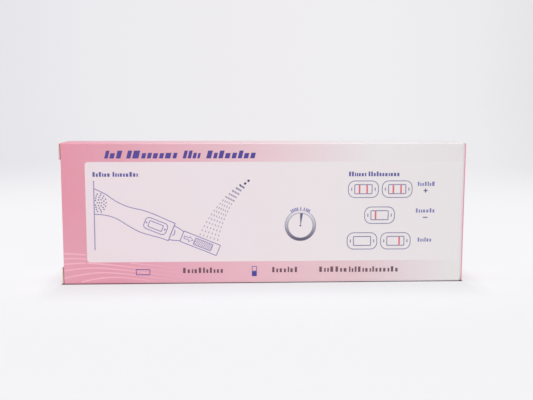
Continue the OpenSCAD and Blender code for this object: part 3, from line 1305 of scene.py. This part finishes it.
    def codes(self) -> None:
        """The row of dark blocks in the rhythm of printed codes, and two plain signs."""
        self.rows("front_codes", CODE_INK, 0.55, (
            (-31.4, -16.1, 3.95, 2.1, 11, 41), (3.0, 12.6, 4.0, 2.1, 7, 42),
            (21.3, 31.9, 4.0, 2.1, 7, 43), (32.9, 52.0, 3.9, 2.1, 14, 44)))
        signs = self.sheet(1)
        signs.box(0.26, (-46.7, 4.5), 5.2, 2.1, 0.15, 0, 2)
        signs.box(0.22, (-3.95, 5.5), 1.7, 1.8, 0.1, 0, 2)
        signs.fill(rounded_box((-3.95, 3.5), 1.9, 1.9, 0.1, 0, 2))
        signs.finish("front_signs", MARK_INK)

    def waves(self) -> None:
        """Pale lines in the lower left corner: each rises to a crest and falls away to the right.

        With b(t) = w log(1 + exp(t / w)), which bends softly from 0 into t, line k is
        z = crest - rise b(peak - x) - fall b(x - peak). It's kept to the margin round the field.
        """
        sheet, w = self.sheet(-1), self.wave_bend
        first_x, last_x, gone_x = self.wave_x
        fade_run, *widths = self.wave_thin
        x = np.linspace(first_x, last_x, 200)
        low, field_low, field_left = self.margin
        for k in range(self.wave_count):
            crest, peak, rise, fall = (first + step * k for first, step in self.wave_runs)
            z = (crest - rise * w * np.log1p(np.exp((peak - x) / w))
                 - fall * w * np.log1p(np.exp((x - peak) / w)))
            shown = (z > low) & ((z < field_low) | (x < field_left))
            edges = np.flatnonzero(np.diff(np.concatenate([[0], shown.astype(int), [0]])))
            for start, end in zip(edges[::2], edges[1::2]):
                if end - start > self.wave_least:
                    run = np.stack([x[start:end], z[start:end]], 1)
                    thin = np.clip((gone_x - run[:, 0]) / fade_run, *widths)
                    sheet.stroke(run, self.wave_width * thin)
        sheet.finish("front_waves", WAVE_INK)

    def build(self) -> None:
        """Prints the whole panel."""
        for part in (self.waves, self.title, self.captions, self.drawing, self.grips, self.stream,
                     self.results, self.timer, self.codes):
            part()


@dataclass
class BackPrint:
    """Plain rows of blocks in two columns on the back panel, two empty frames and a title."""

    plane: Plane
    columns: Pair = (-63.0, -18.0)
    row_count: int = 11
    row_pitch: float = 2.75
    row_length: float = 38.0
    first_base: float = 40.4
    row_height: float = 1.15
    frames: tuple[tuple[Pair, float, float, float], ...] = (
        ((44.5, 32.5), 34.0, 18.0, 1.2), ((44.5, 15.5), 34.0, 8.0, 1.2))

    def build(self) -> None:
        """Prints the panel."""
        title, text, frames = (PrintSheet(self.plane) for _ in range(3))
        title.words(-62.0, -26.0, 47.6, 2.6, 12, 51, slant=0.26)
        title.finish("back_title", TITLE_INK)
        for column, start in enumerate(self.columns):
            for row in range(self.row_count):
                end = start + self.row_length - (row * 7 + column * 5) % 13
                base = self.first_base - self.row_pitch * row
                text.words(start, end, base, self.row_height, 22, 60 + 20 * column + row)
        text.finish("back_text", TEXT_INK)
        for outline in self.frames:
            frames.box(0.3, *outline)
        frames.finish("back_frames", WINDOW_INK)


@dataclass
class EndPrint:
    """Pale wave lines and an empty frame on a lid."""

    plane: Plane
    side: Side
    wave_count: int = 7
    first: float = -5.9
    pitch: float = 0.9
    sway: Triple = (0.7, 6.5, 0.35)
    run: Pair = (1.2, 24.0)
    line: float = 0.3

    def build(self) -> None:
        """Prints the lid: line k runs up at first + pitch k + a sin(up / b + c k)."""
        rides = ("left_flap" if self.side is Side.LEFT_END else "right_flap", "lid_board")
        waves, box = PrintSheet(self.plane), PrintSheet(self.plane)
        up = np.linspace(*self.run, 60)
        thin = np.clip((self.run[1] + 1.0 - up) / 18.0, 0.12, 1.0)
        a, b, c = self.sway
        for k in range(self.wave_count):
            across = self.first + self.pitch * k + a * np.sin(up / b + c * k)
            waves.stroke(np.stack([across, up], 1), self.line * thin)
        waves.finish(f"{self.side.value}_waves", WAVE_INK, *rides)
        box.box(self.line, (-2.8, 36.0), 6.4, 20.0, 1.0)
        box.finish(f"{self.side.value}_frame", TITLE_INK, *rides)


# Board, foil and paper


@dataclass
class LidCrease:
    """The coated paper that bends over a lid's crease, from its panel to the lid."""

    shape: CartonShape
    turn: float
    flat: float = 0.62
    reach: float = 0.7
    lift: float = 0.02
    sunk: float = 0.03
    steps: int = 10
    rows: int = 12
    margin: float = 0.35
    change_before: float = 0.15
    bend_start: Pair = (-0.25, -0.45)
    bend_end: Pair = (0.45, 0.25)

    def profile(self, offset: float) -> tuple[np.ndarray, np.ndarray]:
        """The way from the panel round the bead to the lid, seen from above.

        It is straight along the panel, a quarter circle of the bead's radius plus the offset
        about the crease, and straight along the lid.

        Args:
            offset: How far outside the board's face it lies.

        Returns:
            Its points for the right lid, and the way along it at each of them.
        """
        c, r = self.shape, self.shape.bead_r + offset
        start = np.array([[c.hinge_x - self.flat, c.hinge_y - r]])
        end = np.array([[c.hinge_x + r, c.hinge_y + self.reach]])
        bend = arc((c.hinge_x, c.hinge_y), r, -90, 0, self.steps)
        way = np.linspace(0, math.pi / 2 * c.bead_r, self.steps + 1) + self.flat
        return np.concatenate([start, bend, end]), np.array([0.0, *way, way[-1] + self.reach])

    def build(self) -> None:
        """Makes the strip as a closed skin between its two offsets."""
        outer, along = self.profile(self.lift)
        inner, _ = self.profile(-self.sunk)
        ring = np.concatenate([outer, inner[::-1]]) * self.turn
        n, rows = len(ring), self.rows
        z = np.linspace(self.margin, self.shape.height - self.margin, rows + 1)
        points = np.concatenate([np.tile(ring, (rows + 1, 1)), np.repeat(z, n)[:, None]], 1)
        i, k = (grid.ravel() for grid in np.meshgrid(np.arange(n), np.arange(rows)))
        j = (i + 1) % n
        sides = np.stack([k * n + i, k * n + j, (k + 1) * n + j, (k + 1) * n + i], 1)
        m = np.arange(len(outer) - 1)
        cap = np.stack([m, n - 1 - m, n - 2 - m, m + 1], 1)
        parts = MeshParts()
        parts.add(points, [sides, cap, cap[:, ::-1] + rows * n])
        side = "left" if self.turn < 0 else "right"
        name, body = f"{side}_crease_paper", f"{side}_flap"
        board = CreaseBoard(self.flat - self.change_before).material(f"{name}_board")
        piece = parts.build(name, board, True)
        lengths = np.tile(np.concatenate([along, along[::-1]]), rows + 1)
        corner = np.zeros(len(piece.data.loops), np.int32)
        piece.data.loops.foreach_get("vertex_index", corner)
        uv = np.stack([lengths[corner], points[corner, 2]], 1)
        layer = piece.data.uv_layers.new(name="UVMap")
        layer.data.foreach_set("uv", uv.astype(np.float32).ravel())
        crease = np.array([self.shape.hinge_x, self.shape.hinge_y])
        start, end = ((*((crease + step) * self.turn * MM), 0.0)
                      for step in (self.bend_start, self.bend_end))
        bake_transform(piece)
        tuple(start)
        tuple(end)


@dataclass
class FoilPouch:
    """The sealed pouch: two foils that meet at the seal and stand off over the stick inside.

    Its middle line lies on the solid's own, and it stays inside the solid.
    """

    low: np.ndarray
    high: np.ndarray
    seal: float = 6.0
    film: float = 0.15
    stick: Triple = (128.0, 22.0, 9.0)
    cap_l: float = 44.0
    cap_share: float = 0.72
    cap_step: float = 9.0
    flat_share: float = 0.7
    notch: float = 1.6
    notch_x: float = 12.0
    drawn_in: float = 0.16
    fan_x: float = 58.0
    fan_start: float = 44.0
    columns: int = 260
    rows: int = 84

    @staticmethod
    def smooth(s: np.ndarray) -> np.ndarray:
        """A smooth step: c^2 (3 - 2 c), with c held between 0 and 1."""
        c = np.clip(s, 0, 1)
        return c * c * (3 - 2 * c)

    def half_thickness(self, x: np.ndarray, z: np.ndarray) -> np.ndarray:
        """Half the pouch's thickness over the stick.

        The stick's share is 1 at the handle and steps down to the capped end. Along and across,
        the foil rises from the seal to the stick by a smooth step.

        Args:
            x: Place along the pouch from its middle.
            z: Place across it from its middle.

        Returns:
            The solid's half thickness there.
        """
        seal_x, _, seal_z = (self.high - self.low) / 2 - self.seal
        stick_l, stick_w, stick_t = self.stick
        capped = self.smooth((x - stick_l / 2 + self.cap_l) / self.cap_step + 0.5)
        share = 1 - (1 - self.cap_share) * capped
        flat = stick_w / 2 * self.flat_share * share
        along = self.smooth((seal_x - np.abs(x)) / (seal_x - stick_l / 2 + stick_t))
        across = self.smooth((seal_z - np.abs(z)) / (seal_z - flat))
        return self.film + (stick_t / 2 - self.film) * share * along * across

    def creases(self, x: np.ndarray, z: np.ndarray, side: int) -> np.ndarray:
        """How far the foil is drawn in by its creases, from 0 to 1.

        Each crease is a sharp valley, 1 - |sin| to the fourth power, along a line that fans out
        from the seal; a slow wave sets where it is deep.

        Args:
            x: Place along the pouch.
            z: Place across it.
            side: -1 for the front foil, 1 for the back one.

        Returns:
            The depth's share.
        """
        fan = np.arctan2(z, np.abs(x) - self.fan_x)
        ends = (1 - np.abs(np.sin(7 * fan + 0.4 * side))) ** 4
        ends = ends * self.smooth((np.abs(x) - self.fan_start) / 12)
        slant = (1 - np.abs(np.sin(0.33 * z + 0.11 * x + 0.8 * np.sin(0.09 * x + side)))) ** 4
        cross = (1 - np.abs(np.sin(0.16 * x - 0.21 * z * side + 0.6 * np.sin(0.3 * z)))) ** 5
        slow = 0.5 + 0.5 * np.sin(0.12 * x + 1.7 * side) * np.cos(0.17 * z)
        return np.clip(0.8 * ends + 0.55 * slant * slow + 0.45 * cross * (1 - slow), 0, 1)

    def build(self) -> None:
        """Makes the pouch as one closed skin of two grids and the rim between them."""
        half_l, _, half_w = (self.high - self.low) / 2
        middle = (self.low + self.high) / 2
        u, v = np.meshgrid(np.linspace(-1, 1, self.columns + 1), np.linspace(-1, 1, self.rows + 1))
        x = half_l * u
        z = v * (half_w - np.maximum(0, self.notch - np.abs(x + half_l - self.notch_x)))
        half = self.half_thickness(x, z)
        layers = []
        for side in (-1, 1):
            drawn = half - (half - self.film) * self.drawn_in * self.creases(x, z, side)
            layers.append(np.stack([x, side * drawn, z], -1).reshape(-1, 3) + middle)
        across = self.columns + 1
        layer = across * (self.rows + 1)
        i, j = np.arange(self.columns), np.arange(self.rows) * across
        a = (j[:, None] + i).ravel()
        front = np.stack([a, a + 1, a + across + 1, a + across], 1)
        top = self.rows * across
        rims = [np.stack([i, i + layer, i + layer + 1, i + 1], 1),
                np.stack([i + top + 1, i + top + layer + 1, i + top + layer, i + top], 1),
                np.stack([j, j + across, j + across + layer, j + layer], 1),
                np.stack([j + layer, j + across + layer, j + across, j], 1) + self.columns]
        parts = MeshParts()
        parts.add(np.concatenate(layers), [front, front[:, ::-1] + layer, *rims])
        foil = Foil(half_l, half_w, float(middle[2]), self.seal)
        piece = parts.build("creased_foil_pouch", foil.material(), True)
        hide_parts("foil_pouch")
        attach(piece, "tube")


@dataclass
class Carton:
    """The carton with its board, its print and what is packed in it."""

    shape: CartonShape

    def dress(self, node: str, material: Material) -> None:
        """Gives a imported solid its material.

        Args:
            node: The solid's name.
            material: Its finish.
        """
        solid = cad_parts[node]
        solid.data.materials.clear()
        solid.data.materials.append(material)
        log.info("%s: dressed with %s", node, material.name)

    def plane(self, side: Side) -> Plane:
        """The face of a side, with its origin where the carton's middle line meets the floor.

        Args:
            side: The side.

        Returns:
            The plane.
        """
        half_l, half_d = self.shape.half_l, self.shape.half_d
        return {Side.FRONT: Plane((0, -half_d, 0), (1, 0, 0)),
                Side.BACK: Plane((0, half_d, 0), (-1, 0, 0)),
                Side.LEFT_END: Plane((-half_l, 0, 0), (0, -1, 0)),
                Side.RIGHT_END: Plane((half_l, 0, 0), (0, 1, 0))}[side]

    def build(self) -> None:
        """Dresses the solids and adds the pieces."""
        self.dress("carton", TubeBoard(self.shape).material())
        self.dress("right_lid", LidBoard(self.shape, 1.0).material())
        self.dress("left_lid", LidBoard(self.shape, -1.0).material())
        _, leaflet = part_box("leaflet")
        self.dress("leaflet", LeafletPaper(leaflet.x / MM).material())
        FrontPrint(self.plane(Side.FRONT)).build()
        BackPrint(self.plane(Side.BACK)).build()
        for side in (Side.LEFT_END, Side.RIGHT_END):
            EndPrint(self.plane(side), side).build()
        for turn in (-1.0, 1.0):
            LidCrease(self.shape, turn).build()
        low, high = (np.array(corner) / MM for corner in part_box("foil_pouch"))
        FoilPouch(low, high).build()


# Studio


@dataclass
class Studio:
    """A pale floor that fades into a pale distance, soft light, and the camera."""

    shape: CartonShape
    floor_tone: Rgb = (246, 246, 248)
    backdrop: Stops = (
        (-0.35, (227, 227, 232)), (-0.23, (231, 230, 235)), (-0.14, (236, 235, 238)),
        (0.054, (239, 237, 240)), (0.18, (239, 238, 240)), (0.283, (236, 235, 237)),
        (0.35, (229, 229, 231)))
    viewpoint: float = 335.0
    bounce_albedo: Rgb = (240, 240, 242)
    seen_albedo: Rgb = (168, 168, 170)
    unevenness: Waver = Waver(1.0, 0.006, 60.0, 2)
    # Painted shadow: the floor's dark pinkish albedo and glow at the carton's foot.
    contact_shadow_albedo: Rgb = (84, 60, 66)
    near_glow: Rgb = (196, 196, 198)
    mid_glow: Rgb = (205, 205, 207)
    contact_shadow_glow: Rgb = (12, 10, 12)
    mid_y: Pair = (-90.0, 60.0)
    contact: float = 1.5
    end_squeeze: float = 3.5
    # Painted shadow ahead of the carton: where it starts, where it is full, and its share.
    painted_front_shadow: Triple = (34.0, 6.0, 0.12)
    # Painted light beside the carton's two ends: its share, and where it lies.
    painted_end_light: float = 0.09
    side_x: Triple = (0.0, 2.0, 30.0)
    side_y: Pair = (26.0, 4.0)
    foot_glow: float = 0.12
    foot_reach: float = 48.0
    fade_start: float = 262.0
    fade_end: float = 715.0
    floor_rings: tuple[float, ...] = (150.0, 420.0, 900.0, 6000.0)
    floor_steps: int = 64
    sky: float = 0.50
    lamps: tuple[tuple[str, Triple, float, float], ...] = (
        ("top_light", (-40, 60, 760), 600, 1.85),
        ("key_light", (-300, -700, 230), 560, 1.8),
        ("fill_light", (420, -640, 180), 520, 1.25))
    lamp_aim: Triple = (0.0, 0.0, 27.0)
    camera_place: Triple = (-17.0811, -335.2418, 70.8545)
    camera_way: Triple = (0.05377825, 0.98850567, -0.14129558)
    camera_up: Triple = (0.00541895, 0.14120935, 0.98996493)
    lens: float = 58.2439
    lens_shift: float = 0.039387

    def distance(self, nodes: Nodes, x: Field, y: Field) -> Socket:
        """The backdrop's tone towards (x, y): it goes by x over the length of (x, y)."""
        return nodes.ramp(x.op("DIVIDE", x.hypot(y)), self.backdrop)

    def floor_material(self) -> Material:
        """The floor's finish: plain and pale near the carton, and the distance's tone far away.

        What the backdrop rays see is a share of the light that falls on it plus a glow of its
        own. That glow is darkened to a painted shadow close round the carton's foot and a little
        way in front of it, where the albedo is darkened too, and painted light makes it a little
        stronger beside the two ends. Other rays see plain pale paper with a faint glow round the
        foot, which stands for the light of a wide bright table.

        Returns:
            The material.
        """
        s = Shader("studio_floor", self.floor_tone)
        at, seen = s.place(), s.backdrop_share()
        far = at.x.hypot(at.y).rise(self.fade_start, self.fade_end)
        past_x = (abs(at.x) - self.shape.half_l).highest(0.0)
        past_y = (abs(at.y) - self.shape.half_d).highest(0.0)
        ahead = (past_x * self.end_squeeze).hypot(past_y)
        # 0 at the foot, where the floor takes its painted contact shadow, and 1 past the contact
        # distance.
        clear = ahead.rise(0.0, self.contact)
        start, full, end = self.side_x
        beside = past_x.rise(start, full) * past_x.rise(end, full) * past_y.rise(*self.side_y)
        glow = s.mix(at.y.rise(*self.mid_y), self.near_glow, self.mid_glow)
        # Painted shadow: the glow is darkened a little in front of the carton.
        glow = s.mix(ahead.rise(*self.painted_front_shadow[:2]) * self.painted_front_shadow[2], glow, self.contact_shadow_glow)
        # Painted light: the glow is made a little stronger beside the two ends.
        glow = s.mix(beside * self.painted_end_light, glow, WHITE)
        glow = s.mix(clear, self.contact_shadow_glow, glow)
        glow = s.mix(far, glow, self.distance(s, at.x, at.y + self.viewpoint))
        glow = s.shade(glow, self.unevenness.on(s, at))
        table = s.grey(past_x.hypot(past_y).rise(self.foot_reach, 0.0) * self.foot_glow)
        # Painted shadow: the floor's albedo turns dark pinkish at the foot.
        own = s.mix(clear, self.contact_shadow_albedo, self.seen_albedo)
        lit = s.node("BsdfDiffuse", {
            "Color": s.mix(seen, self.bounce_albedo, s.mix(far, own, BLACK))})
        shine = s.node("Emission", {"Color": s.mix(seen, table, glow)})
        both = s.node("AddShader", {0: lit.outputs[0], 1: shine.outputs[0]})
        s.plug(s.output.inputs["Surface"], both.outputs[0])
        return s.material

    def floor(self) -> None:
        """A flat round sheet, in rings about the carton."""
        n = self.floor_steps
        ring = np.concatenate([circle((0, 0), r, n) for r in self.floor_rings])
        points = np.concatenate([np.zeros((1, 3)), np.pad(ring, ((0, 0), (0, 1)))])
        i, j = round_trip(n)
        fan = np.stack([np.zeros(n, int), i + 1, j + 1], 1)
        bands = [np.stack([i, i + n, j + n, j], 1) + 1 + n * k
                 for k in range(len(self.floor_rings) - 1)]
        parts = MeshParts()
        parts.add(points, [fan, *bands])
        parts.build("floor", self.floor_material())

    def world(self) -> None:
        """The distance's tone where it is seen, and soft white light elsewhere."""
        world = bpy.data.worlds.new("studio")
        bpy.context.scene.world = world
        world.use_nodes = True
        n = Nodes(world.node_tree)
        x, y, _ = n.parts(n.node("TexCoord").outputs["Generated"])
        seen = n.node("Background", {"Color": self.distance(n, x, y)})
        light = n.node("Background", {"Color": linear(WHITE), "Strength": self.sky})
        mix = n.node("MixShader", {0: n.backdrop_share(), 1: light.outputs[0], 2: seen.outputs[0]})
        n.node("OutputWorld", {"Surface": mix.outputs[0]})

    def lamp(self, name: str, place: Triple, size: float, power: float) -> None:
        """Adds a square soft light aimed at the middle of the carton.

        Args:
            name: Its name.
            place: Where it stands, in millimetres.
            size: Its side, in millimetres.
            power: Its power, in watts.
        """
        data = bpy.data.lights.new(name, "AREA")
        data.size, data.energy = size * MM, power
        lamp = bpy.data.objects.new(name, data)
        bpy.context.scene.collection.objects.link(lamp)
        lamp.location = Vector(place) * MM
        aim = Vector(self.lamp_aim) * MM - lamp.location
        lamp.rotation_mode = "QUATERNION"
        lamp.rotation_quaternion = aim.to_track_quat("-Z", "Y")

    def camera(self) -> None:
        """The camera at the photograph's viewing angle, with its small vertical lens shift."""
        data = bpy.data.cameras.new("camera")
        data.sensor_width = 36.0
        data.lens = self.lens
        data.shift_y = self.lens_shift
        data.clip_start, data.clip_end = 0.01, 50.0
        camera = bpy.data.objects.new("camera", data)
        bpy.context.scene.collection.objects.link(camera)
        forward, up = Vector(self.camera_way).normalized(), Vector(self.camera_up)
        right = forward.cross(up).normalized()
        axes = Matrix((right, right.cross(forward), -forward)).transposed()
        camera.matrix_world = Matrix.Translation(Vector(self.camera_place) * MM) @ axes.to_4x4()
        bpy.context.scene.camera = camera

    def build(self) -> None:
        """Sets up the studio."""
        bpy.context.scene.view_settings.view_transform = "Standard"
        self.floor()
        self.world()
        for lamp in self.lamps:
            self.lamp(*lamp)
        self.camera()


def main() -> None:
    """Builds the carton and the studio."""
    logging.basicConfig(level=logging.INFO, format="%(name)s: %(message)s")
    shape = CartonShape.read()
    Studio(shape).build()
    Carton(shape).build()


if __name__ == "__main__":
    main()
